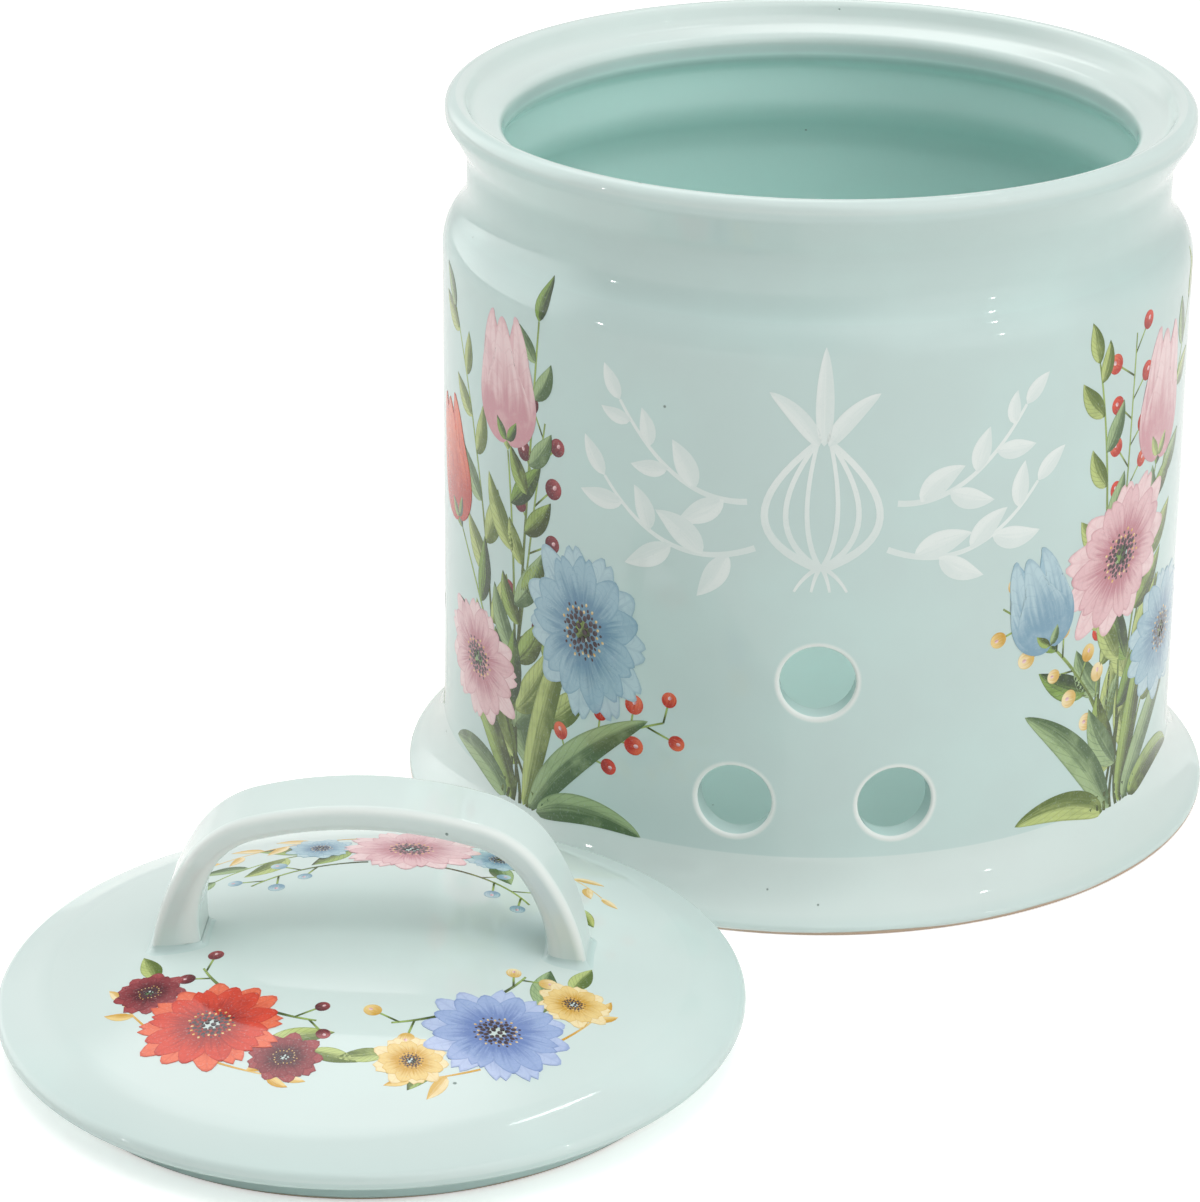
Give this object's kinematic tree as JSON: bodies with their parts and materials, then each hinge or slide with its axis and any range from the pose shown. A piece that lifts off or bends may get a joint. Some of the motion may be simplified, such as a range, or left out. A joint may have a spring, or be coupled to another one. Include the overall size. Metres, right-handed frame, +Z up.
{
  "type": "onion keeper",
  "caption": "Round glazed stoneware keeper with a flared foot, a necked rim and vent holes low in its wall, and a domed lid with an arched strap handle laid beside it.",
  "frame": {"origin": "centre of the canister's foot, on the surface that it stands on", "axes": "+Z up along the canister's axis, -Y towards the side with the vent holes, +X to the right of someone who looks at them"},
  "size_m": [0.2791, 0.3279, 0.1729],
  "materials": {
    "canister_glaze": "pale duck-egg gloss glaze over cream stoneware, thinner and paler on the rim and on the edges of the holes, with a bare foot ring",
    "lid_glaze": "the same pale duck-egg gloss glaze, with a bare ring underneath"
  },
  "bodies": {
    "canister": {"canister": "canister_glaze"},
    "lid": {"lid": "lid_glaze", "lid_handle": "lid_glaze"}
  },
  "joints": [
    {"name": "lid_lift", "type": "slide", "parent": "canister", "child": "lid", "axis": [0, 0, 1], "range_m": [0, 0.2]}
  ]
}
